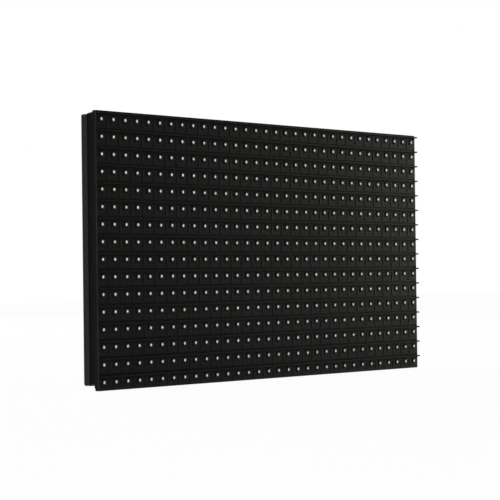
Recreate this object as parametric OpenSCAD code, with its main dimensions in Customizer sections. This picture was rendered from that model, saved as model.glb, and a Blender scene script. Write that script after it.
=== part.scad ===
// Outdoor LED dot matrix module: lamps on a square pitch behind a louvred mask, on one circuit board, with an
// open-backed housing, its fixings and its connectors.
// Millimetres. The face looks along -Y, +Z is up, and the origin is the middle of the fixing inserts, on the
// rear plane of the housing.

/* [Dot matrix] */
// Distance between the centres of neighbouring lamps
pitch = 10; // [9:0.5:12]
// Lamps in each row
columns = 32; // [24:2:36]
// Rows of lamps
rows = 16; // [12:2:16]
// Gap all round that keeps neighbouring modules apart
tile_gap = 0.2; // [0.1:0.1:0.6]

/* [Lamp] */
// Side of the square lamp body
lamp_size = 3.5; // [2.8:0.1:4]
// Cut corner that marks the lamp's polarity
lamp_corner = 0.5; // [0.3:0.1:0.8]
// Height of the lamp's face above the face of the mask
lamp_proud = 0.3; // [0.1:0.1:0.5]
// Diameter of the diffused window in the lamp's face
window_d = 2.3; // [1.6:0.1:2.6]
// Depth of the window's cup
window_depth = 0.6; // [0.4:0.1:1]
// How far the window's face stays below the rim of its cup
window_low = 0.05; // [0:0.05:0.2]

/* [Front mask] */
// Thickness of the mask's face
mask_t = 1; // [0.8:0.1:1.4]
// Thickness of the mask's side flange
flange_t = 1.2; // [1:0.1:1.3]
// Bevel round the front edge of the mask
front_bevel = 0.5; // [0.3:0.1:0.7]
// Bevel round the rear edge of the side flange
rear_bevel = 0.8; // [0.4:0.1:1]
// Corner radius of the mask's outline
mask_corner = 1; // [0.6:0.1:1.2]
// Gap between a lamp and the sides of its hole in the mask
lamp_gap = 0.1; // [0.05:0.05:0.2]

/* [Louvres] */
// Reach of the louvres in front of the mask's face
louvre_reach = 2.5; // [1.5:0.5:5]
// Thickness of a louvre where it leaves the mask
louvre_root = 1.2; // [1:0.1:1.6]
// Thickness of a louvre at its front edge
louvre_tip = 0.8; // [0.6:0.1:1]
// Distance from the mask's ends to the louvres' ends
louvre_inset = 0.9; // [0.6:0.1:2]
// Width of the groove along each side of a louvre's root
groove_w = 0.8; // [0.4:0.1:0.9]
// Depth of that groove
groove_depth = 0.5; // [0.2:0.1:0.6]
// Flat left between a lamp's hole and the groove above it
groove_gap = 0.1; // [0.1:0.1:0.4]
// Width of the low dividers between neighbouring lamps
divider_w = 0.7; // [0.5:0.1:1.2]
// Height of the dividers above the mask's face
divider_h = 0.2; // [0.1:0.1:0.8]
// Flat left between a divider's end and the groove beyond it
divider_gap = 0.7; // [0.3:0.1:1.2]

/* [Board and sealant] */
// Thickness of the circuit board
board_t = 1.6; // [1.2:0.1:2]
// Gap between the board's edge and the mask's side flange
board_gap = 0.3; // [0.1:0.1:0.5]
// Thickness of the sealant between the board and the mask
sealant_t = 0.6; // [0.4:0.1:1.2]

/* [Rear housing] */
// Depth of the housing behind the board
housing_depth = 10.1; // [9.8:0.1:14]
// Distance that the housing's ends and underside are set in from the mask's edge
housing_inset = 3.2; // [2.4:0.1:4]
// Distance that the housing's top is set in from the mask's edge
top_inset = 2.1; // [1.8:0.1:3]
// Distance from the mask's top to the front edge of the sloping top that sheds rain
slope_low = 0.3; // [0.2:0.1:0.6]
// Height of that slope's rear edge above the gasket
slope_step = 0.2; // [0.1:0.1:0.4]
// Thickness of the housing's wall
wall_t = 2.2; // [1.8:0.1:2.6]
// Corner radius of the housing's wall
housing_corner = 1.6; // [1.4:0.1:1.8]
// Thickness of the ledge that carries the board's edge
ledge_t = 1.2; // [0.8:0.1:2]
// Thickness of the ribs
rib_t = 1.8; // [1.4:0.1:2.4]
// Gap between the ribs and the board
rib_gap = 1; // [0.6:0.1:1.2]
// How far the ribs stay below the rear plane
rib_low = 1.5; // [1:0.1:2]

/* [Gasket] */
// Depth of the gasket's seat along the rear edge
gasket_seat = 3.8; // [3:0.1:5]
// Depth of the seat into the wall
gasket_rebate = 1; // [0.6:0.1:1.2]
// Height of the gasket above the wall's side
gasket_side = 0.6; // [0.3:0.1:1]
// Height of the gasket above the rear plane
gasket_rear = 0.3; // [0.2:0.1:1]
// Corner radius of the gasket's outer edge
gasket_corner = 1.4; // [0.8:0.1:2]

/* [Fixings] */
// Distance from the tile's end to the outer fixing inserts
fixing_inset_x = 15; // [13:0.5:20]
// Distance from the tile's top and bottom to the fixing inserts
fixing_inset_z = 14; // [12.5:0.5:16]
// Outer diameter of an insert
insert_d = 5.6; // [5:0.1:6]
// Diameter of an insert's tapped hole
insert_bore = 3.3; // [2.5:0.1:3.8]
// Length of an insert
insert_len = 7; // [5:0.5:7.5]
// Wall of plastic round an insert
insert_wall = 2.2; // [1.6:0.1:2.6]

/* [Locating pins] */
// Diameter of the pins
pin_d = 5; // [4:0.5:6]
// Reach of the pins behind the rear plane
pin_reach = 6; // [4:0.5:8]
// Length of pin held in the housing
pin_hold = 7.5; // [5:0.5:8]
// Bevel at the pin's tip
pin_bevel = 0.8; // [0.5:0.1:1]
// Step from a pin's held shank down to the pin itself
pin_step = 0.6; // [0.4:0.1:0.8]
// Length of the cone between them, behind the pin's boss
pin_cone = 1; // [0.5:0.1:1]
// Distance of the pins from the centre line, in lamp pitches
pin_cells = 10; // [9:1:10]
// Wall of plastic round a pin's shank
pin_wall = 1.4; // [1.2:0.1:1.8]

/* [Board supports] */
// Diameter of the posts that stand where the middle webs meet the ribs
post_d = 5; // [4:0.5:6]

/* [Mask screws] */
// Distance of the inner screws from the upright centre line, in lamp pitches
screw_cells_x = 5; // [4:1:6]
// Distance of the inner screws from the level centre line, in lamp pitches
screw_cells_z = 3; // [3:1:4]
// Core diameter of the screws, which is also the pilot hole's
screw_core = 2.1; // [1.6:0.1:2.3]
// Diameter of the clearance hole in the housing
screw_hole = 2.8; // [2.5:0.1:3.2]
// Diameter of the screw's head
head_d = 4.5; // [4:0.1:5]
// Height of the screw's head
head_h = 1.6; // [1.2:0.1:2]
// Gap round the screw's head
head_gap = 0.35; // [0.2:0.05:0.6]
// Plastic under the screw's head
screw_web = 2.5; // [2:0.1:3]
// Wall of plastic round the screw's head
screw_wall = 1.3; // [1:0.1:1.6]
// Diameter of the mask's bosses, which pass through the board
boss_d = 4.6; // [4:0.1:5]
// Gap round those bosses in the board and the sealant
boss_gap = 0.2; // [0.1:0.05:0.4]
// Gap between the end of a boss and the housing
boss_short = 0.2; // [0.1:0.05:0.4]
// Skin left between a pilot hole and the mask's face
pilot_skin = 0.7; // [0.6:0.1:0.8]
// Gap between the tip of a screw and the end of its pilot hole
tip_gap = 0.2; // [0.1:0.05:0.4]

/* [Signal headers] */
// Distance from the housing's inner wall to the middle of a header
header_inset = 30; // [26:1:34]
// Pins along a header
header_pins = 8; // [5:1:8]
// Distance between neighbouring header pins
header_pitch = 2.54; // [2:0.02:2.54]
// Side of the square header pins
header_pin = 0.64; // [0.5:0.02:0.7]
// Height of a header above the board
header_h = 9; // [8:0.1:9.5]
// Width of a header
header_w = 8.9; // [8.4:0.1:10]
// Wall of a header's shroud
header_wall = 1.2; // [1:0.1:1.4]
// Length of shroud past the last pin, at each end
header_end = 5.06; // [4:0.02:6]
// Wall of the shroud's ends
header_end_wall = 2.4; // [1.6:0.1:2.6]
// Thickness of a header's floor
header_floor = 2.4; // [1.8:0.1:3]
// Width of the keying slot in the shroud
header_key = 4.5; // [3.5:0.1:5]
// How far the pins end below the top of the shroud
header_pin_low = 1; // [0.6:0.1:2]

/* [Power connector] */
// Poles of the power connector
power_pins = 4; // [2:1:5]
// Distance between neighbouring poles
power_pitch = 3.96; // [3.5:0.02:5.08]
// Side of the square power pins
power_pin = 1.14; // [0.9:0.02:1.3]
// Width of the connector
power_w = 8.5; // [7.5:0.1:10]
// Length of the connector past its last pole, at each end
power_end = 2.94; // [2:0.02:4]
// Thickness of the connector's base
power_base = 3.2; // [2.4:0.1:4]
// Height of the connector's latch wall above the board
power_h = 8.6; // [7:0.1:9]
// Thickness of the latch wall
power_wall = 1.4; // [1:0.1:1.8]
// Width of the slots in the latch wall
power_slot = 1.6; // [1:0.1:2]
// How far the pins end below the top of the latch wall
power_pin_low = 0.6; // [0.2:0.1:1.5]

/* [Chips] */
// Body length, body width, height and span over the leads of a driver chip
driver_body = [8.65, 3.9, 1.6, 6];
// Leads on each side of a driver chip, and the distance between them
driver_leads = [12, 0.635];
// The same sizes of a logic chip
logic_body = [10.2, 4.4, 1.7, 6.6];
// Leads on each side of a logic chip, and the distance between them
logic_leads = [8, 1.27];
// The same sizes of a row switch
switch_body = [4.9, 3.9, 1.5, 6];
// Leads on each side of a row switch, and the distance between them
switch_leads = [4, 1.27];
// Width of a lead, as a share of the distance between leads
lead_share = 0.45; // [0.3:0.05:0.6]
// Thickness of a lead's foot
lead_t = 0.2; // [0.15:0.05:0.3]
// Distance from a header to the logic chips beside it
logic_from_header = 24; // [20:1:27]
// Distance from a header to the resistor arrays beside it
arrays_from_header = 12; // [10:0.5:13]

/* [Capacitors] */
// Diameter of the electrolytic capacitors' cans
can_d = 6.3; // [5:0.1:6.6]
// Height of a can above its base
can_h = 5; // [4:0.1:6]
// Side of the square base under a can
can_base = 6.6; // [6.6:0.1:7.2]
// Thickness of that base
can_base_t = 0.9; // [0.6:0.1:1.2]
// Length, width and height of a ceramic capacitor
ceramic = [1.6, 0.8, 0.8];
// Distance from a driver chip's end to its ceramic capacitor
ceramic_gap = 2.2; // [1.5:0.1:3]
// Length, width and height of a resistor array
array = [3.2, 1.6, 0.55];

/* [Hidden] */
// Facets that keep a circle a true circle
$fn = 48;
// Overshoot of a cut past the face that it opens
over = 1;

// Levels along Y, from the rear plane towards the face
board_back = -housing_depth;
board_front = board_back - board_t;
mask_back = board_front - sealant_t;
mask_front = mask_back - mask_t;
lamp_front = mask_front - lamp_proud;
louvre_front = mask_front - louvre_reach;
rib_front = board_back + rib_gap;
rib_back = -rib_low;
screw_seat = board_back + screw_web;
pilot_end = mask_front + pilot_skin;

// Outlines
mask_w = columns * pitch - 2 * tile_gap;
mask_h = rows * pitch - 2 * tile_gap;
board_w = mask_w - 2 * flange_t - 2 * board_gap;
board_h = mask_h - 2 * flange_t - 2 * board_gap;
housing_w = mask_w - 2 * housing_inset;
housing_h = mask_h - housing_inset - top_inset;
// Height of the housing's middle above the mask's middle
housing_up = (housing_inset - top_inset) / 2;
inner_w = housing_w - 2 * wall_t;
inner_h = housing_h - 2 * wall_t;
hole_side = lamp_size + 2 * lamp_gap;
// Height of a louvre's middle above the middle of its row
louvre_rise = hole_side / 2 + groove_gap + groove_w + louvre_root / 2;

// Places on the back of the board, as [x, z]
rib_x = screw_cells_x * pitch;
rib_z = screw_cells_z * pitch;
screw_places = [
    for (sx = [-1, 1], sz = [-1, 1])
        for (p = [
            [screw_cells_x, screw_cells_z],
            [columns / 2 - 1, screw_cells_z],
            [screw_cells_x, rows / 2 - 1]
        ])
            [sx * p[0] * pitch, sz * p[1] * pitch]
];
fixing_x = columns * pitch / 2 - fixing_inset_x;
fixing_z = rows * pitch / 2 - fixing_inset_z;
post_places = [for (s = [-1, 1]) [0, s * rib_z]];
fixing_places = [for (x = [-fixing_x, 0, fixing_x], z = [-fixing_z, fixing_z]) [x, z]];
pin_places = [[-pin_cells * pitch, -rib_z], [pin_cells * pitch, rib_z]];
// Outer diameters of the housing's bosses
fixing_boss_d = insert_d + 2 * insert_wall;
pin_boss_d = pin_d + 2 * pin_step + 2 * pin_wall;
screw_boss_d = head_d + 2 * head_gap + 2 * screw_wall;
header_x = inner_w / 2 - header_inset;
header_len = (header_pins - 1) * header_pitch + 2 * header_end;
power_len = (power_pins - 1) * power_pitch + 2 * power_end;

// The driver chips stand in a row through the upper bays and a row through the lower bays, evenly spread
// between the ribs and the walls
bay_x = inner_w / 2 - rib_x;
driver_xs = [rib_x / 2, rib_x + bay_x / 3, rib_x + bay_x * 2 / 3];
driver_z = (rib_z + inner_h / 2) / 2;
driver_places = [for (sx = [-1, 1], sz = [-1, 1], x = driver_xs) [sx * x, sz * driver_z]];
ceramic_dx = driver_body[0] / 2 + ceramic_gap;
ceramic_places = [for (p = driver_places) [p[0] + sign(p[0]) * ceramic_dx, p[1]]];
// The input is at the left as seen from the front
input_x = -header_x;
output_x = header_x;
logic_places = [
    [input_x + logic_from_header, -rib_z / 2],
    [input_x + logic_from_header, rib_z / 2],
    [0, rib_z * 0.6]
];
switch_places = [for (i = [-1.5, -0.5, 0.5, 1.5]) [i * rib_x / 3, -rib_z * 0.6]];
can_places = [for (sx = [-1, 1], sz = [-1, 1]) [sx * rib_x * 0.56, sz * rib_z * 0.25]];
array_places = [
    for (i = [-1.5, -0.5, 0.5, 1.5])
        for (x = [input_x + arrays_from_header, output_x - arrays_from_header])
            [x, i * 4]
];

function two_digits(n) = str(n < 10 ? "0" : "", n);
function row_node(name, r) = str(name, "_row_", two_digits(r));
function column_x(c) = (c - (columns + 1) / 2) * pitch;
function row_z(r) = ((rows + 1) / 2 - r) * pitch;

// ---- Helpers

// Extrudes a flat X-Z outline between two levels along Y
module between(front, back) {
    translate([0, back, 0])
        rotate([90, 0, 0])
            linear_extrude(back - front)
                children();
}

// Puts a piece on the back of the board, with its own +Z pointing away from the board
module on_board(place, turn = 0) {
    translate([place[0], board_back, place[1]])
        rotate([-90, 0, 0])
            rotate(turn)
                children();
}

// Puts a piece on the Y axis through a place, with its own +Z pointing to the rear from the given level
module along_y(place, level) {
    translate([place[0], level, place[1]])
        rotate([-90, 0, 0])
            children();
}

// A rectangle with round corners
module rounded(w, h, r) {
    square([w - 2 * r, h], center = true);
    square([w, h - 2 * r], center = true);
    for (sx = [-1, 1], sz = [-1, 1])
        translate([sx * (w / 2 - r), sz * (h / 2 - r)])
            circle(r);
}

// A block whose front and rear edges are bevelled, as the crossing of two bevelled profiles
module bevelled_block(w, h, front, back, front_cut, back_cut) {
    intersection() {
        translate([-w / 2, 0, 0])
            rotate([90, 0, 90])
                linear_extrude(w)
                    bevelled_profile(h, front, back, front_cut, back_cut);
        translate([0, 0, -h / 2])
            linear_extrude(h)
                rotate(-90)
                    mirror([1, 0])
                        bevelled_profile(w, front, back, front_cut, back_cut);
        between(front - over, back + over)
            rounded(w, h, mask_corner);
    }
}

// The section of that block: depth along X, width along Y
module bevelled_profile(w, front, back, front_cut, back_cut) {
    polygon([
        [front, -w / 2 + front_cut],
        [front + front_cut, -w / 2],
        [back - back_cut, -w / 2],
        [back, -w / 2 + back_cut],
        [back, w / 2 - back_cut],
        [back - back_cut, w / 2],
        [front + front_cut, w / 2],
        [front, w / 2 - front_cut]
    ]);
}

// Square holes, one for every lamp
module lamp_holes(side) {
    for (r = [1:rows], c = [1:columns])
        translate([column_x(c), row_z(r)])
            square(side, center = true);
}

// Round holes in which the mask's bosses pass through the sealant and the board
module boss_holes() {
    for (p = screw_places)
        translate(p)
            circle(d = boss_d + 2 * boss_gap);
}

// ---- Front mask

module mask_face() {
    between(mask_front, mask_back)
        difference() {
            square([mask_w - 2 * flange_t, mask_h - 2 * flange_t], center = true);
            lamp_holes(hole_side);
        }
}

module mask_rim() {
    difference() {
        bevelled_block(mask_w, mask_h, mask_front, board_back, front_bevel, rear_bevel);
        between(mask_front - over, board_back + over)
            square([mask_w - 2 * flange_t, mask_h - 2 * flange_t], center = true);
    }
}

// One sun shade: a bar that gets thinner towards its front edge
module louvre() {
    translate([-mask_w / 2 + louvre_inset, 0, 0])
        rotate([90, 0, 90])
            linear_extrude(mask_w - 2 * louvre_inset)
                polygon([
                    [mask_front + mask_t / 2, -louvre_root / 2],
                    [mask_front, -louvre_root / 2],
                    [louvre_front, -louvre_tip / 2],
                    [louvre_front, louvre_tip / 2],
                    [mask_front, louvre_root / 2],
                    [mask_front + mask_t / 2, louvre_root / 2]
                ]);
}

module louvres() {
    for (r = [1:rows])
        translate([0, 0, row_z(r) + louvre_rise])
            louvre();
}

// A low bar between every two neighbouring lamps; the lowest ones stop short of the mask's edge
module dividers() {
    reach = louvre_root / 2 + groove_w + divider_gap;
    between(mask_front - divider_h, mask_front + mask_t / 2)
        for (r = [1:rows], c = [1:columns - 1]) {
            high = row_z(r) + louvre_rise - reach;
            low = max(row_z(r + 1) + louvre_rise + reach, -mask_h / 2 + louvre_inset);
            translate([column_x(c) + pitch / 2 - divider_w / 2, low])
                square([divider_w, high - low]);
        }
}

// The grooves along both sides of every louvre; the highest louvre has none above it
module grooves() {
    side = louvre_root / 2 + groove_w / 2;
    between(mask_front - over, mask_front + groove_depth)
        for (r = [1:rows], s = [-1, 1])
            if (r > 1 || s < 0)
                translate([0, row_z(r) + louvre_rise + s * side])
                    square([mask_w - 2 * louvre_inset, groove_w], center = true);
}

module mask_bosses() {
    for (p = screw_places)
        along_y(p, mask_back)
            cylinder(d = boss_d, h = board_back - boss_short - mask_back);
}

module pilot_holes() {
    for (p = screw_places)
        along_y(p, pilot_end)
            cylinder(d = screw_core, h = board_back - pilot_end + over);
}

module front_mask() {
    color("#2b2c2a") {
        difference() {
            union() {
                mask_rim();
                mask_face();
                mask_bosses();
                dividers();
            }
            grooves();
            pilot_holes();
        }
        louvres();
    }
}

// ---- Lamps

module lamp_outline() {
    h = lamp_size / 2;
    polygon([[-h, -h], [h, -h], [h, h - lamp_corner], [h - lamp_corner, h], [-h, h]]);
}

module lamp() {
    difference() {
        between(lamp_front, board_front)
            lamp_outline();
        between(lamp_front - over, lamp_front + window_depth)
            circle(d = window_d);
    }
}

module lamp_row(r) {
    color("#101010")
        for (c = [1:columns])
            translate([column_x(c), 0, row_z(r)])
                lamp();
}

// The diffused windows that fill the lamps' cups
module window_row(r) {
    color("#f1f1ec")
        between(lamp_front + window_low, lamp_front + window_depth)
            for (c = [1:columns])
                translate([column_x(c), row_z(r)])
                    circle(d = window_d);
}

// ---- Sealant and board

module sealant_layer() {
    color("#1b1b1b")
        between(mask_back, board_front)
            difference() {
                square([board_w, board_h], center = true);
                lamp_holes(lamp_size);
                boss_holes();
            }
}

// Square holes for soldered pins, on the same places as the pins themselves
module pin_holes() {
    for (x = [input_x, output_x])
        translate([x, 0])
            header_pin_grid()
                square(header_pin, center = true);
    power_pin_grid()
        square(power_pin, center = true);
}

module circuit_board() {
    color("#1d5a36")
        between(board_front, board_back)
            difference() {
                square([board_w, board_h], center = true);
                boss_holes();
                pin_holes();
            }
}

// ---- Rear housing

// The housing is one moulding. It is drawn as four groups of simple solids that meet face to face.

// Puts a flat outline level with the housing's middle, which is a little above the mask's
module raised() {
    translate([0, housing_up])
        children();
}

module housing_ring(w, h, r, front, back) {
    between(front, back)
        raised()
            difference() {
                rounded(w, h, r);
                square([inner_w, inner_h], center = true);
            }
}

module housing_ledge() {
    between(board_back, board_back + ledge_t)
        difference() {
            square([board_w, board_h], center = true);
            raised()
                square([inner_w, inner_h], center = true);
        }
}

// The sloping top, from just under the mask's top edge down to the gasket
module rain_slope() {
    top = housing_up + housing_h / 2;
    translate([-housing_w / 2, 0, 0])
        rotate([90, 0, 90])
            linear_extrude(housing_w)
                polygon([
                    [board_back, top - housing_corner],
                    [-gasket_seat, top - housing_corner],
                    [-gasket_seat, top + gasket_side + slope_step],
                    [board_back, mask_h / 2 - slope_low]
                ]);
}

// All four walls, with the ledge in front and the gasket's seat behind
module housing_shell() {
    housing_ring(housing_w, housing_h, housing_corner, board_back, -gasket_seat);
    housing_ring(
        housing_w - 2 * gasket_rebate,
        housing_h - 2 * gasket_rebate,
        housing_corner - gasket_rebate,
        -gasket_seat,
        0
    );
    housing_ledge();
    rain_slope();
}

// The band of height between the long walls
module end_band() {
    between(board_back - over, over)
        raised()
            square([mask_w, inner_h], center = true);
}

module housing_long_walls() {
    color("#262726")
        difference() {
            housing_shell();
            end_band();
        }
}

module housing_end_walls() {
    color("#262726")
        intersection() {
            housing_shell();
            end_band();
        }
}

// A level or upright bar of rib thickness from one place to another
module bar(from, to) {
    size = [max(abs(to[0] - from[0]), rib_t), max(abs(to[1] - from[1]), rib_t)];
    translate((from + to) / 2)
        square(size, center = true);
}

// The outline of a boss: a circle with a flat for a rib on each of its four sides
module boss_outline(places, d) {
    intersection() {
        for (p = places)
            translate(p)
                circle(d = d);
        boss_flats(places, d);
    }
}

// Squares whose sides are those flats
module boss_flats(places, d) {
    for (p = places)
        translate(p)
            square(sqrt(d * d - rib_t * rib_t), center = true);
}

// Level and upright ribs, and short webs from the fixing bosses to the walls. Each stretch between two bosses
// is a bar of its own.
module housing_ribs() {
    high = housing_up + inner_h / 2;
    low = housing_up - inner_h / 2;
    color("#262726")
        between(rib_front, rib_back)
            difference() {
                union() {
                    for (s = [-1, 1]) {
                        bar([-inner_w / 2, s * rib_z], [inner_w / 2, s * rib_z]);
                        bar([s * rib_x, low], [s * rib_x, high]);
                        for (z = [-fixing_z, fixing_z])
                            bar([s * fixing_x, z], [s * inner_w / 2, z]);
                    }
                    for (x = [-fixing_x, fixing_x]) {
                        bar([x, fixing_z], [x, high]);
                        bar([x, low], [x, -fixing_z]);
                    }
                    bar([0, rib_z], [0, high]);
                    bar([0, low], [0, -rib_z]);
                }
                boss_flats(fixing_places, fixing_boss_d);
                boss_flats(pin_places, pin_boss_d);
                boss_flats(screw_places, screw_boss_d);
                boss_flats(post_places, post_d);
            }
}

// The bosses and posts, with the holes for the inserts, the pins and the screws
module housing_bosses() {
    color("#262726")
        difference() {
            union() {
                between(rib_front, 0)
                    boss_outline(fixing_places, fixing_boss_d);
                between(rib_front, rib_back)
                    boss_outline(pin_places, pin_boss_d);
                between(board_back, rib_back) {
                    boss_outline(screw_places, screw_boss_d);
                    boss_outline(post_places, post_d);
                }
            }
            for (p = fixing_places)
                along_y(p, -insert_len)
                    cylinder(d = insert_d, h = insert_len + over);
            for (p = pin_places)
                along_y(p, -pin_hold)
                    cylinder(d = pin_d + 2 * pin_step, h = pin_hold + over);
            for (p = screw_places) {
                along_y(p, board_back - over)
                    cylinder(d = screw_hole, h = screw_web + 2 * over);
                along_y(p, screw_seat)
                    cylinder(d = head_d + 2 * head_gap, h = -screw_seat + over);
            }
        }
}

module sealing_gasket() {
    color("#3a3b3b")
        between(-gasket_seat, gasket_rear)
            raised()
                difference() {
                    rounded(housing_w + 2 * gasket_side, housing_h + 2 * gasket_side, gasket_corner);
                    rounded(
                        housing_w - 2 * gasket_rebate,
                        housing_h - 2 * gasket_rebate,
                        housing_corner - gasket_rebate
                    );
                }
}

// ---- Fixings

// A brass insert: a tapped bush with a groove round its middle
module insert() {
    groove_r = insert_d / 2 - 0.4;
    third = insert_len / 3;
    rotate_extrude()
        polygon([
            [insert_bore / 2, 0],
            [insert_d / 2, 0],
            [insert_d / 2, third],
            [groove_r, third + 0.3],
            [groove_r, 2 * third - 0.3],
            [insert_d / 2, 2 * third],
            [insert_d / 2, insert_len],
            [insert_bore / 2, insert_len]
        ]);
}

module fixing_inserts() {
    color("#b5893f")
        for (p = fixing_places)
            along_y(p, -insert_len)
                insert();
}

module locating_pins() {
    color("#3b3d3e")
        for (p = pin_places)
            along_y(p, -pin_hold)
                rotate_extrude()
                    polygon([
                        [0, 0],
                        [pin_d / 2 + pin_step, 0],
                        [pin_d / 2 + pin_step, pin_hold - rib_low],
                        [pin_d / 2, pin_hold - rib_low + pin_cone],
                        [pin_d / 2, pin_hold + pin_reach - pin_bevel],
                        [pin_d / 2 - pin_bevel, pin_hold + pin_reach],
                        [0, pin_hold + pin_reach]
                    ]);
}

// A pan-head screw with a cross recess; its thread is drawn as the core
module screw() {
    difference() {
        union() {
            translate([0, 0, pilot_end + tip_gap - screw_seat])
                cylinder(d = screw_core, h = screw_seat - pilot_end - tip_gap + head_h / 2);
            cylinder(d1 = head_d, d2 = head_d - 1, h = head_h);
        }
        for (turn = [0, 90])
            rotate(turn)
                translate([-head_d / 4, -0.35, head_h / 2])
                    cube([head_d / 2, 0.7, head_h]);
    }
}

module mask_screws() {
    color("#8c8f92")
        for (p = screw_places)
            along_y(p, screw_seat)
                screw();
}

// ---- Connectors

// Repeats its children on the places of a header's pins: along Z, in two columns
module header_pin_grid() {
    for (i = [0:header_pins - 1], s = [-0.5, 0.5])
        translate([s * header_pitch, (i - (header_pins - 1) / 2) * header_pitch])
            children();
}

module power_pin_grid() {
    for (i = [0:power_pins - 1])
        translate([(i - (power_pins - 1) / 2) * power_pitch, 0])
            children();
}

// A shrouded header: the cavity, its keying slot and the holes for the pins
module header() {
    difference() {
        linear_extrude(header_h)
            square([header_w, header_len], center = true);
        translate([0, 0, header_floor])
            linear_extrude(header_h)
                square([header_w - 2 * header_wall, header_len - 2 * header_end_wall], center = true);
        translate([0, -header_key / 2, header_floor])
            cube([header_w, header_key, header_h]);
        translate([0, 0, -over])
            linear_extrude(header_floor + 2 * over)
                header_pin_grid()
                    square(header_pin, center = true);
    }
}

module posts(top) {
    translate([0, 0, -board_t])
        linear_extrude(board_t + top)
            children();
}

module input_header() {
    color("#1f1f20")
        on_board([input_x, 0])
            header();
}

module input_header_pins() {
    color("#c9a555")
        on_board([input_x, 0])
            posts(header_h - header_pin_low)
                header_pin_grid()
                    square(header_pin, center = true);
}

module output_header() {
    color("#1f1f20")
        on_board([output_x, 0], 180)
            header();
}

module output_header_pins() {
    color("#c9a555")
        on_board([output_x, 0])
            posts(header_h - header_pin_low)
                header_pin_grid()
                    square(header_pin, center = true);
}

// The power connector: a base with the pins through it and a slotted latch wall along one side
module power_connector() {
    color("#e6e1d2")
        on_board([0, 0])
            difference() {
                union() {
                    linear_extrude(power_base)
                        square([power_len, power_w], center = true);
                    translate([-power_len / 2, power_w / 2 - power_wall, 0])
                        cube([power_len, power_wall, power_h]);
                }
                translate([0, 0, -over])
                    linear_extrude(power_base + 2 * over)
                        power_pin_grid()
                            square(power_pin, center = true);
                for (s = [-1, 1])
                    translate([s * power_pitch - power_slot / 2, 0, power_base])
                        cube([power_slot, power_w, power_h - power_base - power_wall]);
            }
}

module power_connector_pins() {
    color("#c3c5c6")
        on_board([0, 0])
            posts(power_h - power_pin_low)
                power_pin_grid()
                    square(power_pin, center = true);
}

// ---- Chips

// A moulded chip body: drafted above and below its leads, with a round mark at the first lead
module chip_body(size) {
    w = size[1] / 2;
    top = size[2];
    low = lead_t;
    mid = (low + top) / 2;
    draft = 0.12;
    difference() {
        translate([-size[0] / 2, 0, 0])
            rotate([90, 0, 90])
                linear_extrude(size[0])
                    polygon([
                        [-w + draft, low],
                        [w - draft, low],
                        [w, mid],
                        [w - draft, top],
                        [-w + draft, top],
                        [-w, mid]
                    ]);
        translate([-size[0] / 2 + 1, -w + 1, top - 0.1])
            cylinder(d = 0.8, h = over);
    }
}

// The leads on both sides of a chip: each slopes from the middle of the body's side down to the board
module chip_leads(size, leads) {
    rise = (lead_t + size[2]) / 2;
    foot = size[3] / 2;
    for (i = [0:leads[0] - 1])
        translate([(i - (leads[0] - 1) / 2 - lead_share / 2) * leads[1], 0, 0])
            rotate([90, 0, 90])
                linear_extrude(lead_share * leads[1])
                    for (m = [0, 1])
                        mirror([m, 0])
                            polygon([
                                [foot, 0],
                                [foot, lead_t],
                                [size[1] / 2, rise],
                                [size[1] / 2, rise - 2 * lead_t]
                            ]);
}

module chips(places, size) {
    color("#1c1d1f")
        for (p = places)
            on_board(p)
                chip_body(size);
}

module leads(places, size, leads) {
    color("#b9bcbf")
        for (p = places)
            on_board(p)
                chip_leads(size, leads);
}

// ---- Capacitors and resistors

module capacitor_cans() {
    color("#c9ccce")
        for (p = can_places)
            on_board(p)
                translate([0, 0, can_base_t])
                    cylinder(d = can_d, h = can_h);
}

// A square base with two cut corners
module capacitor_bases() {
    h = can_base / 2;
    cut = 1.2;
    color("#202122")
        for (p = can_places)
            on_board(p)
                linear_extrude(can_base_t)
                    polygon([[-h, -h], [h, -h], [h, h - cut], [h - cut, h], [cut - h, h], [-h, h - cut]]);
}

module blocks(places, size) {
    for (p = places)
        on_board(p)
            translate([-size[0] / 2, -size[1] / 2, 0])
                cube(size);
}

module ceramic_capacitors() {
    color("#b08f68")
        blocks(ceramic_places, ceramic);
}

module resistor_arrays() {
    color("#26282c")
        blocks(array_places, array);
}

// ---- What is drawn

front_mask();
for (r = [1:rows]) {
    lamp_row(r);
    window_row(r);
}
sealant_layer();
circuit_board();
housing_long_walls();
housing_end_walls();
housing_ribs();
housing_bosses();
sealing_gasket();
fixing_inserts();
locating_pins();
mask_screws();
input_header();
input_header_pins();
output_header();
output_header_pins();
power_connector();
power_connector_pins();
chips(driver_places, driver_body);  // driver_chips
leads(driver_places, driver_body, driver_leads);  // driver_chip_leads
chips(logic_places, logic_body);  // logic_chips
leads(logic_places, logic_body, logic_leads);  // logic_chip_leads
chips(switch_places, switch_body);  // row_switches
leads(switch_places, switch_body, switch_leads);  // row_switch_leads
capacitor_cans();
capacitor_bases();
ceramic_capacitors();
resistor_arrays();
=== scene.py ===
"""Dresses the LED dot matrix module: finishes, fine pieces, studio light and camera, in metres."""

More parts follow.
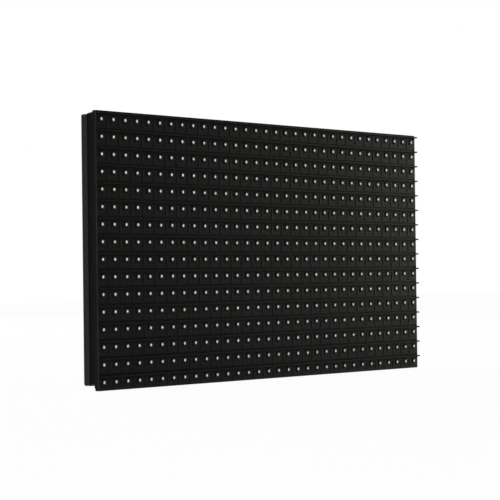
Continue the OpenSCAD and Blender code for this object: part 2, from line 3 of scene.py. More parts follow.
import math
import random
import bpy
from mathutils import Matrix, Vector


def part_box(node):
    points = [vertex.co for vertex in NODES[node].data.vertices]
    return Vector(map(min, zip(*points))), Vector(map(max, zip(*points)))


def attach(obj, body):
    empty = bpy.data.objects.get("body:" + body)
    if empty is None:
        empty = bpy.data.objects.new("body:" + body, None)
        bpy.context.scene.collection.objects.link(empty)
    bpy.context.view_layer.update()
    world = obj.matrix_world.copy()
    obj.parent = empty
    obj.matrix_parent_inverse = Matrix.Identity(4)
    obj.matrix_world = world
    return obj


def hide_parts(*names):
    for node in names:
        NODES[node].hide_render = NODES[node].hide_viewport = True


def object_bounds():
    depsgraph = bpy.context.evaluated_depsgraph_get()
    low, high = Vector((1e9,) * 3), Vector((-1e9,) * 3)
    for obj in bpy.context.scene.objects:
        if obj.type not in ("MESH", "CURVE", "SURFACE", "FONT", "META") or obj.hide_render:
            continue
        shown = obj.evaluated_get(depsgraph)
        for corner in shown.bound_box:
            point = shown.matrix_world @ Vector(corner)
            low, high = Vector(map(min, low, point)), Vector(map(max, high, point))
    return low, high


bl_info = {
    "name": "LED dot matrix module",
    "version": (1, 0, 0),
    "blender": (4, 5, 0),
    "location": "3D View > Sidebar > Dot Matrix",
    "description": "Finishes and fine pieces for an LED dot matrix module, and a studio to show it",
    "category": "Object",
}

import bmesh
import bpy
from bpy.props import FloatProperty, FloatVectorProperty, IntProperty, PointerProperty
from mathutils import Matrix, Vector

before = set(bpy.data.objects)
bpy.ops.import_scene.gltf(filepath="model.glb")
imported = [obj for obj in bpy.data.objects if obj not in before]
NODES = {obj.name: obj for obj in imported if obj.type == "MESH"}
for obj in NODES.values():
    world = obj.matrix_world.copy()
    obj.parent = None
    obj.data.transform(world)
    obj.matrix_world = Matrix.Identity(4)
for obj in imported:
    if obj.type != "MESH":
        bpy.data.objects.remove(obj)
CAD_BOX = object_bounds()
MM = 0.001
ROWS = sorted(name[-2:] for name in NODES if name.startswith("lamp_row_"))
HOUSING = sorted(name for name in NODES if "housing" in name)
BOARD_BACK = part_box("circuit_board")[1].y

# Sockets of a Mix node that blends two colours, and of one that blends two numbers
SHARE, FIRST, SECOND, BLEND = 0, 6, 7, 2
FIRST_NUMBER, SECOND_NUMBER = 2, 3

# The camera is level with the middle of the module, to the left of its face
CAMERA_PLACE = (-0.990936, -0.799568, -0.015826)
CAMERA_FORWARD = (0.776378, 0.630130, 0.013166)
CAMERA_UP = (-0.002462, -0.017858, 0.999838)

# The floor reaches this far to every side; the backdrop stands behind the module
FLOOR_REACH, BACKDROP_PLACE, BACKDROP_TOP = 6, 3, 5


# ---- Colours and nodes


def rgb(code):
    """A hex sRGB colour as linear red, green, blue and alpha."""
    channels = [int(code[i : i + 2], 16) / 255 for i in (1, 3, 5)]
    return [c / 12.92 if c <= 0.04045 else ((c + 0.055) / 1.055) ** 2.4 for c in channels] + [1.0]


def lighter(colour, times, plus=0.0):
    """A paler shade of a linear colour."""
    return [min(1.0, c * times + plus) for c in colour[:3]] + [1.0]


def per_metre(size_mm):
    """The texture scale at which one feature is this many millimetres across."""
    return 1 / (size_mm * MM)


def add(tree, kind, inputs=None, **settings):
    """Adds a shader node; an input that is a socket is linked and any other is set."""
    made = tree.nodes.new("ShaderNode" + kind)
    for name, value in settings.items():
        setattr(made, name, value)
    for name, value in (inputs or {}).items():
        if isinstance(value, bpy.types.NodeSocket):
            tree.links.new(value, made.inputs[name])
        else:
            made.inputs[name].default_value = value
    return made


def start_material(name, base, roughness, metallic=0.0, ior=1.5, gloss=0.5):
    """An empty finish: its node tree, its shader and the object coordinates in metres. A gloss of
    0.5 is a closed surface; less is one whose pores and grain swallow part of the sheen."""
    material = bpy.data.materials.new(name)
    material.use_nodes = True
    tree = material.node_tree
    shader = tree.nodes["Principled BSDF"]
    shader.inputs["Base Color"].default_value = base
    shader.inputs["Roughness"].default_value = roughness
    shader.inputs["Metallic"].default_value = metallic
    shader.inputs["IOR"].default_value = ior
    shader.inputs["Specular IOR Level"].default_value = gloss
    return material, tree, shader, add(tree, "TexCoord").outputs["Object"]


def grained(tree, shader, place, size_mm, height_mm, edge_mm, detail=2.0):
    """Gives the shader a fine grain and softens the edges that light catches. Grain on real
    mouldings and platings is under a tenth of a millimetre, too fine to show, so every finish
    draws it several times coarser."""
    scale = per_metre(size_mm)
    noise = {"Vector": place, "Scale": scale, "Detail": detail, "Roughness": 0.55}
    grain = add(tree, "TexNoise", noise)
    edge = add(tree, "Bevel", {"Radius": edge_mm * MM}, samples=6)
    relief = {"Height": grain.outputs["Fac"], "Distance": height_mm * MM, "Strength": 1.0}
    bump = add(tree, "Bump", {**relief, "Normal": edge.outputs["Normal"]})
    tree.links.new(bump.outputs["Normal"], shader.inputs["Normal"])
    return edge


def edge_share(tree, edge):
    """How much a point is on an edge: 0 on flats, rising to 1 where the softened normal leaves the
    true one. The limits are cosines of the angle between the two."""
    normals = {0: edge.outputs["Normal"], 1: add(tree, "NewGeometry").outputs["Normal"]}
    lean = add(tree, "VectorMath", normals, operation="DOT_PRODUCT").outputs["Value"]
    limits = {"From Min": 0.99, "From Max": 0.85, "To Min": 0.0, "To Max": 1.0}
    return add(tree, "MapRange", {"Value": lean, **limits}).outputs["Result"]


# ---- Finishes


def polycarbonate_spark_eroded(part, colour, wear_and_highlight_colour, grain_mm, gloss):
    """Moulded polycarbonate from a spark-eroded tool: a dead matt black with a fine even grain. Its
    edges are painted paler, in patches: partly burnishing, partly a painted highlight where they
    catch the light. Patches of flow, 18 mm across, make it a little duller here and there. The real
    grain is about 0.05 mm, and is drawn coarser to show."""
    dull, spread = 0.46, 0.04
    name = f"polycarbonate_spark_eroded_{part}"
    material, tree, shader, place = start_material(name, colour, dull, ior=1.58, gloss=gloss)
    edge = grained(tree, shader, place, size_mm=grain_mm, height_mm=0.03, edge_mm=0.15)
    noise = add(tree, "TexNoise", {"Vector": place, "Scale": per_metre(18), "Detail": 3.0})
    patches = noise.outputs["Fac"]
    limits = {"From Min": 0.3, "From Max": 0.7, "To Min": dull - spread, "To Max": dull + spread}
    roughness = add(tree, "MapRange", {"Value": patches, **limits}).outputs["Result"]
    tree.links.new(roughness, shader.inputs["Roughness"])
    # Paler edges, in patches: partly burnishing, partly a painted highlight along the edges that
    # catch the light
    both = {0: edge_share(tree, edge), 1: patches}
    wear_and_highlight_share = add(tree, "Math", both, operation="MULTIPLY", use_clamp=True).outputs[0]
    shade = add(tree, "Mix", {SHARE: wear_and_highlight_share, FIRST: colour, SECOND: wear_and_highlight_colour}, data_type="RGBA")
    tree.links.new(shade.outputs[BLEND], shader.inputs["Base Color"])
    return material


def silicone_extruded(colour):
    """Extruded silicone rubber: matt, with an even skin and a dusty bloom in soft patches, 9 mm
    across. The pores of its skin are drawn at 0.5 mm, coarser than they are, so that they show."""
    name = "silicone_rubber_extruded"
    material, tree, shader, place = start_material(name, colour, 0.7, ior=1.41, gloss=0.3)
    shader.inputs["Sheen Weight"].default_value = 0.08
    grained(tree, shader, place, size_mm=0.5, height_mm=0.03, edge_mm=0.3)
    noise = add(tree, "TexNoise", {"Vector": place, "Scale": per_metre(9), "Detail": 4.0})
    bloom = {SHARE: noise.outputs["Fac"], FIRST: colour, SECOND: lighter(colour, 1.5)}
    shade = add(tree, "Mix", bloom, data_type="RGBA")
    tree.links.new(shade.outputs[BLEND], shader.inputs["Base Color"])
    return material


def silicone_poured(colour):
    """Poured black silicone: satin, level, with the soft swell that it sets to between lamps."""
    name = "silicone_sealant_poured"
    material, tree, shader, place = start_material(name, colour, 0.35, ior=1.41)
    grained(tree, shader, place, size_mm=4.0, height_mm=0.08, edge_mm=0.2, detail=1.0)
    return material


def polyamide_moulded(colour):
    """Moulded black polyamide of a lamp's body: dull, and slightly uneven from its glass fibre,
    which is drawn at 0.25 mm, coarser than it is, so that it shows."""
    name = "polyamide_lamp_moulded"
    material, tree, shader, place = start_material(name, colour, 0.48, ior=1.53, gloss=0.05)
    grained(tree, shader, place, size_mm=0.25, height_mm=0.012, edge_mm=0.06)
    return material


def resin_diffused(colour, tinted, rim):
    """Cast epoxy with a milky filler: bright in the middle of the cup, darker towards its black
    wall, and yellower in the few lamps of another batch. The filler's cloud is drawn at 0.5 mm,
    coarser than its grains, so that it shows."""
    name = "epoxy_resin_cast_diffused"
    material, tree, shader, place = start_material(name, colour, 0.38, ior=1.52)
    batch = add(tree, "Attribute", attribute_name="batch").outputs["Fac"]
    radius = add(tree, "Attribute", attribute_name="radius").outputs["Fac"]
    body = add(tree, "Mix", {SHARE: batch, FIRST: colour, SECOND: tinted}, data_type="RGBA")
    # Bright over the inner third of the window's radius, then down to the rim's own shade
    limits = {"From Min": 0.3, "From Max": 0.85, "To Min": 0.0, "To Max": 0.96}
    ramp = add(tree, "MapRange", {"Value": radius, **limits}, interpolation_type="SMOOTHSTEP")
    depth = {SHARE: ramp.outputs["Result"], FIRST: body.outputs[BLEND], SECOND: rim}
    shade = add(tree, "Mix", depth, data_type="RGBA")
    tree.links.new(shade.outputs[BLEND], shader.inputs["Base Color"])
    cloud = add(tree, "TexNoise", {"Vector": place, "Scale": per_metre(0.5), "Detail": 2.0})
    relief = {"Height": cloud.outputs["Fac"], "Distance": 0.01 * MM, "Strength": 0.6}
    bump = add(tree, "Bump", relief)
    tree.links.new(bump.outputs["Normal"], shader.inputs["Normal"])
    return material


def glass_epoxy_masked(colour, copper, plating):
    """Glass-epoxy board under a glossy solder mask, laid on wet: paler and a hair higher where
    copper runs below it, in tracks that change direction from one patch to the next. Real tracks
    are 0.2 to 0.5 mm apart, and are drawn every 1.2 mm, so that they show."""
    name = "glass_epoxy_solder_masked"
    material, tree, shader, place = start_material(name, colour, 0.3, ior=1.5)
    shader.inputs["Coat Weight"].default_value = 0.25
    shader.inputs["Coat Roughness"].default_value = 0.12
    # Two directions of tracks, each as wide as 0.38 of the distance between them
    split = add(tree, "SeparateXYZ", {"Vector": place})
    tracks = []
    for axis in ("X", "Z"):
        span = {0: split.outputs[axis], 1: per_metre(1.2)}
        turns = add(tree, "Math", span, operation="MULTIPLY").outputs[0]
        saw = add(tree, "Math", {0: turns}, operation="FRACT").outputs[0]
        tracks.append(add(tree, "Math", {0: saw, 1: 0.38}, operation="LESS_THAN").outputs[0])
    # Patches 9 mm across that take one direction, the other, or a flood of copper
    spots = {"Vector": place, "Scale": per_metre(9), "Randomness": 0.7}
    cells = add(tree, "TexVoronoi", spots, feature="F1", distance="CHEBYCHEV")
    tone = add(tree, "SeparateColor", {"Color": cells.outputs["Color"]}).outputs["Red"]
    upright = add(tree, "Math", {0: tone, 1: 0.45}, operation="GREATER_THAN").outputs[0]
    flood = add(tree, "Math", {0: tone, 1: 0.88}, operation="GREATER_THAN").outputs[0]
    either = {SHARE: upright, FIRST_NUMBER: tracks[0], SECOND_NUMBER: tracks[1]}
    run = add(tree, "Mix", either, data_type="FLOAT").outputs[0]
    copper_here = add(tree, "Math", {0: run, 1: flood}, operation="MAXIMUM").outputs[0]
    # Plated through holes, one in a 3.3 mm patch
    spots = {"Vector": place, "Scale": per_metre(3.3), "Randomness": 0.85}
    hole = add(tree, "TexVoronoi", spots, feature="F1").outputs["Distance"]
    via = add(tree, "Math", {0: hole, 1: 0.11}, operation="LESS_THAN").outputs[0]
    layers = {SHARE: copper_here, FIRST: colour, SECOND: copper}
    masked = add(tree, "Mix", layers, data_type="RGBA").outputs[BLEND]
    plated = add(tree, "Mix", {SHARE: via, FIRST: masked, SECOND: plating}, data_type="RGBA")
    tree.links.new(plated.outputs[BLEND], shader.inputs["Base Color"])
    height = add(tree, "Math", {0: copper_here, 1: via}, operation="SUBTRACT").outputs[0]
    bump = add(tree, "Bump", {"Height": height, "Distance": 0.035 * MM, "Strength": 0.8})
    tree.links.new(bump.outputs["Normal"], shader.inputs["Normal"])
    return material


def metal_finish(name, colour, roughness, grain_mm, height_mm):
    """A plated, drawn or turned metal: its own colour, with fine marks that break up the
    highlight, drawn coarser than they are, so that they show. Its last two numbers are the marks'
    size and height in millimetres."""
    material, tree, shader, place = start_material(name, colour, roughness, metallic=1.0)
    grained(tree, shader, place, grain_mm, height_mm, edge_mm=0.08)
    scale = per_metre(grain_mm * 3)
    marks = add(tree, "TexNoise", {"Vector": place, "Scale": scale, "Detail": 3.0}).outputs["Fac"]
    limits = {"From Min": 0.3, "From Max": 0.7}
    ends = {"To Min": roughness - 0.06, "To Max": roughness + 0.08}
    spread = add(tree, "MapRange", {"Value": marks, **limits, **ends})
    tree.links.new(spread.outputs["Result"], shader.inputs["Roughness"])
    return material


def plastic_moulded(name, colour, roughness, ior, grain_mm, height_mm):
    """A moulded engineering plastic, a fired ceramic or a printed ink: satin, finely grained, with
    softly broken edges and paler clouds 6 mm across. Its last two numbers are the grain's size and
    height in millimetres, drawn coarser than they are, so that they show."""
    material, tree, shader, place = start_material(name, colour, roughness, ior=ior)
    grained(tree, shader, place, grain_mm, height_mm, edge_mm=0.12)
    flow = add(tree, "TexNoise", {"Vector": place, "Scale": per_metre(6), "Detail": 2.0})
    clouds = {SHARE: flow.outputs["Fac"], FIRST: colour, SECOND: lighter(colour, 1.25, 0.003)}
    shade = add(tree, "Mix", clouds, data_type="RGBA")
    tree.links.new(shade.outputs[BLEND], shader.inputs["Base Color"])
    return material


# ---- Shapes


def centre(box):
    return (box[0] + box[1]) / 2


def size(box):
    return box[1] - box[0]


def solids(node):
    """The lowest and highest corners of every separate solid in a CAD node."""
    shape = bmesh.new()
    shape.from_mesh(NODES[node].data)
    bmesh.ops.remove_doubles(shape, verts=shape.verts, dist=0.001 * MM)
    left = set(shape.verts)
    boxes = []
    while left:
        group = [left.pop()]
        for vertex in group:
            for side in vertex.link_edges:
                other = side.other_vert(vertex)
                if other in left:
                    left.remove(other)
                    group.append(other)
        low = Vector([min(v.co[i] for v in group) for i in range(3)])
        high = Vector([max(v.co[i] for v in group) for i in range(3)])
        boxes.append((low, high))
    shape.free()
    return sorted(boxes, key=lambda box: (round(box[0].z, 5), round(box[0].x, 5)))


def around(angle, radius, height):
    """A point at an angle round the upright axis."""
    return Vector((radius * math.cos(angle), radius * math.sin(angle), height))


def ring(count, radius, height):
    """A loop of points on a circle, at one height."""
    return [around(2 * math.pi * i / count, radius, height) for i in range(count)]


def rectangle(width, depth, height, corner, steps=3):
    """A loop of points on a rectangle with round corners, at one height."""
    loop = []
    for quarter, (sx, sy) in enumerate(((1, 1), (-1, 1), (-1, -1), (1, -1))):
        middle = Vector((sx * (width / 2 - corner), sy * (depth / 2 - corner), height))
        for step in range(steps + 1):
            angle = (quarter + step / steps) * math.pi / 2
            loop.append(middle + around(angle, corner, 0))
    return loop


def skin(loops, ends=True):
    """The shape that runs through loops of equally many points, closed at its ends or open."""
    count = len(loops[0])
    points = [point for loop in loops for point in loop]
    faces = []
    for level in range(len(loops) - 1):
        for i in range(count):
            j = (i + 1) % count
            low, high = level * count, (level + 1) * count
            faces.append([low + i, low + j, high + j, high + i])
    if ends:
        faces.append(list(reversed(range(count))))
        faces.append([(len(loops) - 1) * count + i for i in range(count)])
    return points, faces


def block(width, depth, height, edge, corner):
    """A block with broken edges, standing on its base."""
    cut = 2 * edge
    middle = [rectangle(width, depth, level, corner) for level in (edge, height - edge)]
    base, top = [rectangle(width - cut, depth - cut, level, corner) for level in (0, height)]
    return skin([base, *middle, top])


def strip(outline, width):
    """A strip of one width whose side view is the outline, as (reach, height) points."""
    sides = (-width / 2, width / 2)
    points = [Vector((side, reach, height)) for side in sides for reach, height in outline]
    count = len(outline)
    faces = [list(reversed(range(count))), list(range(count, 2 * count))]
    faces += [[i, (i + 1) % count, count + (i + 1) % count, count + i] for i in range(count)]
    return points, faces


def together(*shapes):
    """Several shapes as one."""
    points, faces = [], []
    for more_points, more_faces in shapes:
        first = len(points)
        points += more_points
        faces += [[first + i for i in face] for face in more_faces]
    return points, faces


def repeated(unit, places):
    """A shape repeated at every place."""
    return together(*(([place @ point for point in unit[0]], unit[1]) for place in places))


def rearward(x, y, z, turn=0.0):
    """A place on the back: the shape's own height points to the rear."""
    upright = Matrix.Rotation(-math.pi / 2, 4, "X") @ Matrix.Rotation(turn, 4, "Z")
    return Matrix.Translation((x, y, z)) @ upright


def foot(box, turn=0.0):
    """The place where a solid on the back begins, in the middle of it."""
    return rearward(centre(box).x, box[0].y, centre(box).z, turn)


def frontward(x, y, z):
    """A place on the front: the shape's own height points out of the face."""
    return Matrix.Translation((x, y, z)) @ Matrix.Rotation(math.pi / 2, 4, "X")


def make_piece(name, shape, material, slot, *replaced, sharp=35):
    """Makes one piece that rides on the module, in place of the CAD nodes named."""
    mesh = bpy.data.meshes.new(name)
    mesh.from_pydata(shape[0], [], shape[1])
    repair = bmesh.new()
    repair.from_mesh(mesh)
    bmesh.ops.recalc_face_normals(repair, faces=repair.faces)
    repair.to_mesh(mesh)
    repair.free()
    mesh.polygons.foreach_set("use_smooth", [True] * len(mesh.polygons))
    mesh.set_sharp_from_angle(angle=math.radians(sharp))
    mesh.materials.append(material)
    piece = bpy.data.objects.new(name, mesh)
    bpy.context.scene.collection.objects.link(piece)
    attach(piece, "root")
    if replaced:
        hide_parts(*replaced)
    return piece


def dress(node, material):
    """Gives a CAD node its finish."""
    for slot in NODES[node].material_slots:
        slot.material = material


# ---- Settings


def length(name, size_mm, description):
    """A length that can be changed."""
    return FloatProperty(
        name=name, description=description, default=size_mm * MM, unit="LENGTH", precision=5
    )


def paint(name, code, description):
    """A colour that can be changed."""
    return FloatVectorProperty(
        name=name, description=description, default=rgb(code), size=4, subtype="COLOR"
    )


def power(name, watts, description):
    """The power of a light, which can be changed."""
    return FloatProperty(name=name, description=description, default=watts, unit="POWER")


class MatrixSizes(bpy.types.PropertyGroup):
    """Sizes of the fine pieces"""

    window_dome: length("Window dome", 0.08, "Height of a window's middle above its edge")
    lamp_edge: length("Lamp edge", 0.12, "Broken edge round a lamp's face")
    lamp_cut: length("Lamp's cut corner", 0.5, "How much is cut off the marked corner of a lamp")
    cup_depth: length("Cup depth", 0.4, "Depth of the cup that holds a lamp's resin")
    lead_thickness: length("Lead thickness", 0.2, "Thickness of a chip's leads")
    thread_pitch: length("Thread pitch", 0.7, "Pitch of the thread in the inserts")
    insert_bore: length("Insert bore", 3.3, "Inner diameter of the thread in the inserts")
    print_width: length("Print width", 0.2, "Width of the white outlines printed on the board")
    batch_share: FloatProperty(
        name="Second batch",
        description="Share of the lamps whose resin is yellower",
        default=0.07,
        min=0,
        max=1,
        subtype="FACTOR",
    )
    batch_seed: IntProperty(
        name="Batch seed", description="Chooses which lamps are yellower", default=11
    )


class MatrixColours(bpy.types.PropertyGroup):
    """Colours of the module's finishes"""

    mask: paint("Mask", "#0a0b0a", "Front mask")
    # Partly the colour of burnished edges, partly a painted highlight along them
    edge_worn_and_highlit: paint("Worn and highlit edge", "#191a18", "Edges of the mask and the housing, burnished and painted lighter as a highlight")
    housing: paint("Housing", "#0b0b0b", "Rear housing")
    gasket: paint("Gasket", "#111211", "Sealing gasket")
    sealant: paint("Sealant", "#1b1b1b", "Silicone poured between the lamps")
    lamp: paint("Lamp body", "#0a0b0a", "Black face of the lamps")
    resin: paint("Resin", "#f1f1ec", "Lamp windows")
    resin_yellow: paint("Yellower resin", "#ece4c2", "Windows of the second batch")
    resin_rim: paint("Resin rim", "#30302f", "The resin where it thins out at its cup's wall")
    board: paint("Board", "#123f25", "Solder mask over bare board")
    board_copper: paint("Board over copper", "#1c5632", "Solder mask where copper runs below it")
    via: paint("Plated holes", "#7f8f6a", "Rims of the small plated holes in the board")
    ink: paint("Board print", "#d9dcd6", "Outlines printed on the board")
    chip: paint("Chips", "#17181a", "Chips, switches and resistor arrays")
    tin: paint("Tin", "#b9bcbf", "Tin-plated leads and caps")
    solder: paint("Solder", "#a7abae", "Solder at the feet of the leads")
    can: paint("Capacitor cans", "#c9ccce", "Aluminium of the capacitors")
    base: paint("Capacitor bases", "#1d1d1e", "Bases and printed marks of the capacitors")
    ceramic: paint("Ceramic", "#8f6f4b", "Bodies of the ceramic capacitors")
    header: paint("Signal headers", "#161617", "Shrouds of the signal headers")
    power: paint("Power connector", "#ddd6c2", "Natural nylon of the power connector")
    gold: paint("Gold", "#d2a94f", "Posts of the signal headers")
    brass: paint("Brass", "#b98f45", "Threaded inserts")
    zinc: paint("Zinc", "#9aa0a3", "Mask screws")
    pin: paint("Locating pins", "#2a2b2c", "Nylon of the locating pins")


class MatrixStudio(bpy.types.PropertyGroup):
    """Light and camera"""

    key_power: power("Key", 16.2, "Power of the front soft light")
    edge_power: power("Edge", 2.6, "Power of the soft light past the right end")
    edge_colour: FloatVectorProperty(
        name="Edge colour",
        description="Colour of the soft light past the right end",
        default=rgb("#fffef4")[:3],
        subtype="COLOR",
    )
    back_power: power("Back", 30, "Power of the rear soft light")
    fill: FloatProperty(name="Fill", description="Strength of light from all round", default=0.11)
    lens: FloatProperty(
        name="Lens", description="Focal length of the camera", default=145.06, unit="CAMERA"
    )


# ---- Pieces


class MATRIX_OT_camera(bpy.types.Operator):
    """Places the camera to the left of the face, level with it, as one looks along the louvres"""

    bl_idname = "matrix.camera"
    bl_label = "Camera"

    def execute(self, context):
        view = bpy.data.cameras.new("view")
        view.sensor_width = 36
        view.lens = context.scene.matrix_studio.lens
        view.clip_end = 20
        camera = bpy.data.objects.new("view", view)
        context.scene.collection.objects.link(camera)
        forward = Vector(CAMERA_FORWARD).normalized()
        right = forward.cross(Vector(CAMERA_UP)).normalized()
        up = right.cross(forward)
        turn = Matrix((right, up, -forward)).transposed().to_4x4()
        camera.matrix_world = Matrix.Translation(CAMERA_PLACE) @ turn
        context.scene.camera = camera
        return {"FINISHED"}


class MATRIX_OT_stage(bpy.types.Operator):
    """Lays a pale floor and backdrop and sets soft lights round the module"""

    bl_idname = "matrix.stage"
    bl_label = "Studio"

    def execute(self, context):
        studio = context.scene.matrix_studio
        context.scene.view_settings.view_transform = "Standard"
        ground, reach = CAD_BOX[0].z, FLOOR_REACH
        sides = ((-reach, -reach), (reach, -reach), (reach, reach), (-reach, reach))
        # The floor is not lifted all the way to white, so that it keeps the module's shadow
        floor = [(x, y, ground) for x, y in sides]
        self.lay("floor", floor, self.paper("floor", lift=0.97))
        low, high = (BACKDROP_PLACE, ground), (BACKDROP_PLACE, BACKDROP_TOP)
        backdrop = [(-reach, *low), (reach, *low), (reach, *high), (-reach, *high)]
        self.lay("backdrop", backdrop, self.paper("backdrop", lift=1.0))
        white = (1, 1, 1)
        self.light("key", (-1.0, -1.0, 0.05), (1.0, 0.3), studio.key_power, white)
        self.light("edge", (0.7, -0.14, 0.0), (0.2, 0.7), studio.edge_power, studio.edge_colour)
        self.light("back", (0.5, 1.7, 0.9), (1.4, 1.0), studio.back_power, white)
        self.surround(context, studio.fill)
        return {"FINISHED"}

    def paper(self, part, lift):
        """Matt white paper, lifted towards plain white for the eye and for mirrors but not for the
        light itself."""
        material, tree, shader, _ = start_material(f"paper_matt_{part}", rgb("#e9e9e7"), 0.9)
        seen = self.seen(tree, ("Is Camera Ray", "Is Glossy Ray", "Is Transmission Ray"))
        share = add(tree, "Math", {0: seen, 1: lift}, operation="MULTIPLY").outputs[0]
        white = add(tree, "Emission", {"Color": rgb("#ffffff"), "Strength": 1.0})
        layers = {0: share, 1: shader.outputs["BSDF"], 2: white.outputs["Emission"]}
        mix = add(tree, "MixShader", layers)
        tree.links.new(mix.outputs[0], tree.nodes["Material Output"].inputs["Surface"])
        return material

    def seen(self, tree, rays):
        """1 for the kinds of ray named, 0 for the others."""
        path = add(tree, "LightPath").outputs
        total = path[rays[0]]
        for name in rays[1:]:
            total = add(tree, "Math", {0: total, 1: path[name]}, operation="MAXIMUM").outputs[0]
        return total

    def lay(self, name, corners, material):
        """Lays one sheet of the stage."""
        mesh = bpy.data.meshes.new(name)
        mesh.from_pydata(corners, [], [(0, 1, 2, 3)])
        mesh.materials.append(material)
        sheet = bpy.data.objects.new(name, mesh)
        bpy.context.scene.collection.objects.link(sheet)

    def light(self, name, place, spread, power, colour):
        """A soft light that faces the middle of the module."""
        lamp = bpy.data.lights.new(name, "AREA")
        lamp.shape = "RECTANGLE"
        lamp.size, lamp.size_y = spread
        lamp.energy = power
        lamp.color = colour
        made = bpy.data.objects.new(name, lamp)
        made.location = place
        made.rotation_euler = (-Vector(place)).to_track_quat("-Z", "Y").to_euler()
        bpy.context.scene.collection.objects.link(made)

    def surround(self, context, fill):
        """A weak light from all round, which the eye sees as plain white."""
        world = bpy.data.worlds.new("studio")
        context.scene.world = world
        world.use_nodes = True
        tree = world.node_tree
        soft = tree.nodes["Background"]
        soft.inputs["Color"].default_value = rgb("#ffffff")
        soft.inputs["Strength"].default_value = fill
        white = add(tree, "Background", {"Color": rgb("#ffffff"), "Strength": 1.0})
        seen = self.seen(tree, ("Is Camera Ray", "Is Transmission Ray"))
        layers = {0: seen, 1: soft.outputs["Background"], 2: white.outputs["Background"]}
        mix = add(tree, "MixShader", layers)
        tree.links.new(mix.outputs[0], tree.nodes["World Output"].inputs["Surface"])


class MATRIX_OT_shells(bpy.types.Operator):
    """Finishes the moulded mask and housing, the gasket, the sealant and the board"""

    bl_idname = "matrix.shells"
    bl_label = "Mask, housing and board"

    def execute(self, context):
        colours = context.scene.matrix_colours
        # The paler edge colour is partly wear and partly a painted highlight
        wear_and_highlight_colour = colours.edge_worn_and_highlit
        mask = polycarbonate_spark_eroded("mask", colours.mask, wear_and_highlight_colour, grain_mm=0.4, gloss=0.054)
        housing = polycarbonate_spark_eroded(
            "housing", colours.housing, wear_and_highlight_colour, grain_mm=0.5, gloss=0.05
        )
        dress("front_mask", mask)
        for node in HOUSING:
            dress(node, housing)
        dress("sealing_gasket", silicone_extruded(colours.gasket))
        dress("sealant_layer", silicone_poured(colours.sealant))
        board = glass_epoxy_masked(colours.board, colours.board_copper, colours.via)
        dress("circuit_board", board)
        return {"FINISHED"}


class MATRIX_OT_lamps(bpy.types.Operator):
    """Makes the black-faced lamp bodies, one piece for each row"""

    bl_idname = "matrix.lamps"
    bl_label = "Lamp bodies"

    def execute(self, context):
        sizes = context.scene.matrix_sizes
        material = polyamide_moulded(context.scene.matrix_colours.lamp)
        for row in ROWS:
            bodies = solids(f"lamp_row_{row}")
            window = size(solids(f"window_row_{row}")[0]).x / 2
            unit = self.body(size(bodies[0]), window, sizes)
            places = [frontward(centre(b).x, b[1].y, centre(b).z) for b in bodies]
            shape = repeated(unit, places)
            make_piece(f"lamp_bodies_{row}", shape, material, "lamp_body", f"lamp_row_{row}")
        return {"FINISHED"}

    def body(self, sides, window, sizes):
        """A square body with one cut corner and a round cup in its face, standing on the board."""
        half, tall = sides.x / 2, sides.y
        edge, cut, cup = sizes.lamp_edge, sizes.lamp_cut, sizes.cup_depth
        lip = 0.05 * MM
        # 24 even steps round the body, and one at each end of the cut corner
        bevel = math.atan2(half - cut, half)
        angles = [math.pi * i / 12 for i in range(24)] + [bevel, math.pi / 2 - bevel]
        angles.sort()

        def outline(inset, height):
            loop = []
            for a in angles:
                across, up = math.cos(a), math.sin(a)
                reach = (half - inset) / max(abs(across), abs(up))
                if across > 0 and up > 0:
                    corner = (2 * half - cut - inset * math.sqrt(2)) / (across + up)
                    reach = min(reach, corner)
                loop.append(around(a, reach, height))
            return loop

        def circle(radius, height):
            return [around(a, radius, height) for a in angles]

        # The edge is broken in two steps, the first of them the steeper
        step = edge * 0.35
        loops = [outline(0, 0), outline(0, tall - edge), outline(step, tall - step)]
        loops += [outline(edge, tall), circle(window + lip, tall)]
        loops += [circle(window, tall - lip), circle(window, tall - cup)]
        return skin(loops)


class MATRIX_OT_windows(bpy.types.Operator):
    """Fills the lamps' cups with diffused resin, one piece for each row"""

    bl_idname = "matrix.windows"
    bl_label = "Lamp windows"

    def execute(self, context):
        sizes, colours = context.scene.matrix_sizes, context.scene.matrix_colours
        material = resin_diffused(colours.resin, colours.resin_yellow, colours.resin_rim)
        chance = random.Random(sizes.batch_seed)
        count, below = 24, 0.3 * MM
        # Loops over the dome, from its edge to its middle, as shares of the window's radius
        shares = (1.0, 0.9, 0.78, 0.62, 0.45, 0.25, 0.04)
        for row in ROWS:
            fills = solids(f"window_row_{row}")
            radius = size(fills[0]).x / 2
            loops = [ring(count, radius, -below)]
            loops += [ring(count, radius * s, sizes.window_dome * (1 - s * s)) for s in shares]
            places = [frontward(centre(b).x, b[0].y, centre(b).z) for b in fills]
            shape, node = repeated(skin(loops), places), f"window_row_{row}"
            piece = make_piece(f"lamp_windows_{row}", shape, material, "lamp_window", node)
            across = (1.0, *shares) * len(places)
            self.mark(piece, "radius", [share for share in across for _ in range(count)])
            # A window of the first batch is hardly tinted
            share, hint = sizes.batch_share, 0.12
            batch = [1.0 if chance.random() < share else chance.random() * hint for _ in places]
            points = count * len(loops)
            self.mark(piece, "batch", [tint for tint in batch for _ in range(points)])
        return {"FINISHED"}

    def mark(self, piece, name, values):
        """Keeps a number at every point for the material to read."""
        store = piece.data.attributes.new(name, "FLOAT", "POINT")
        store.data.foreach_set("value", values)


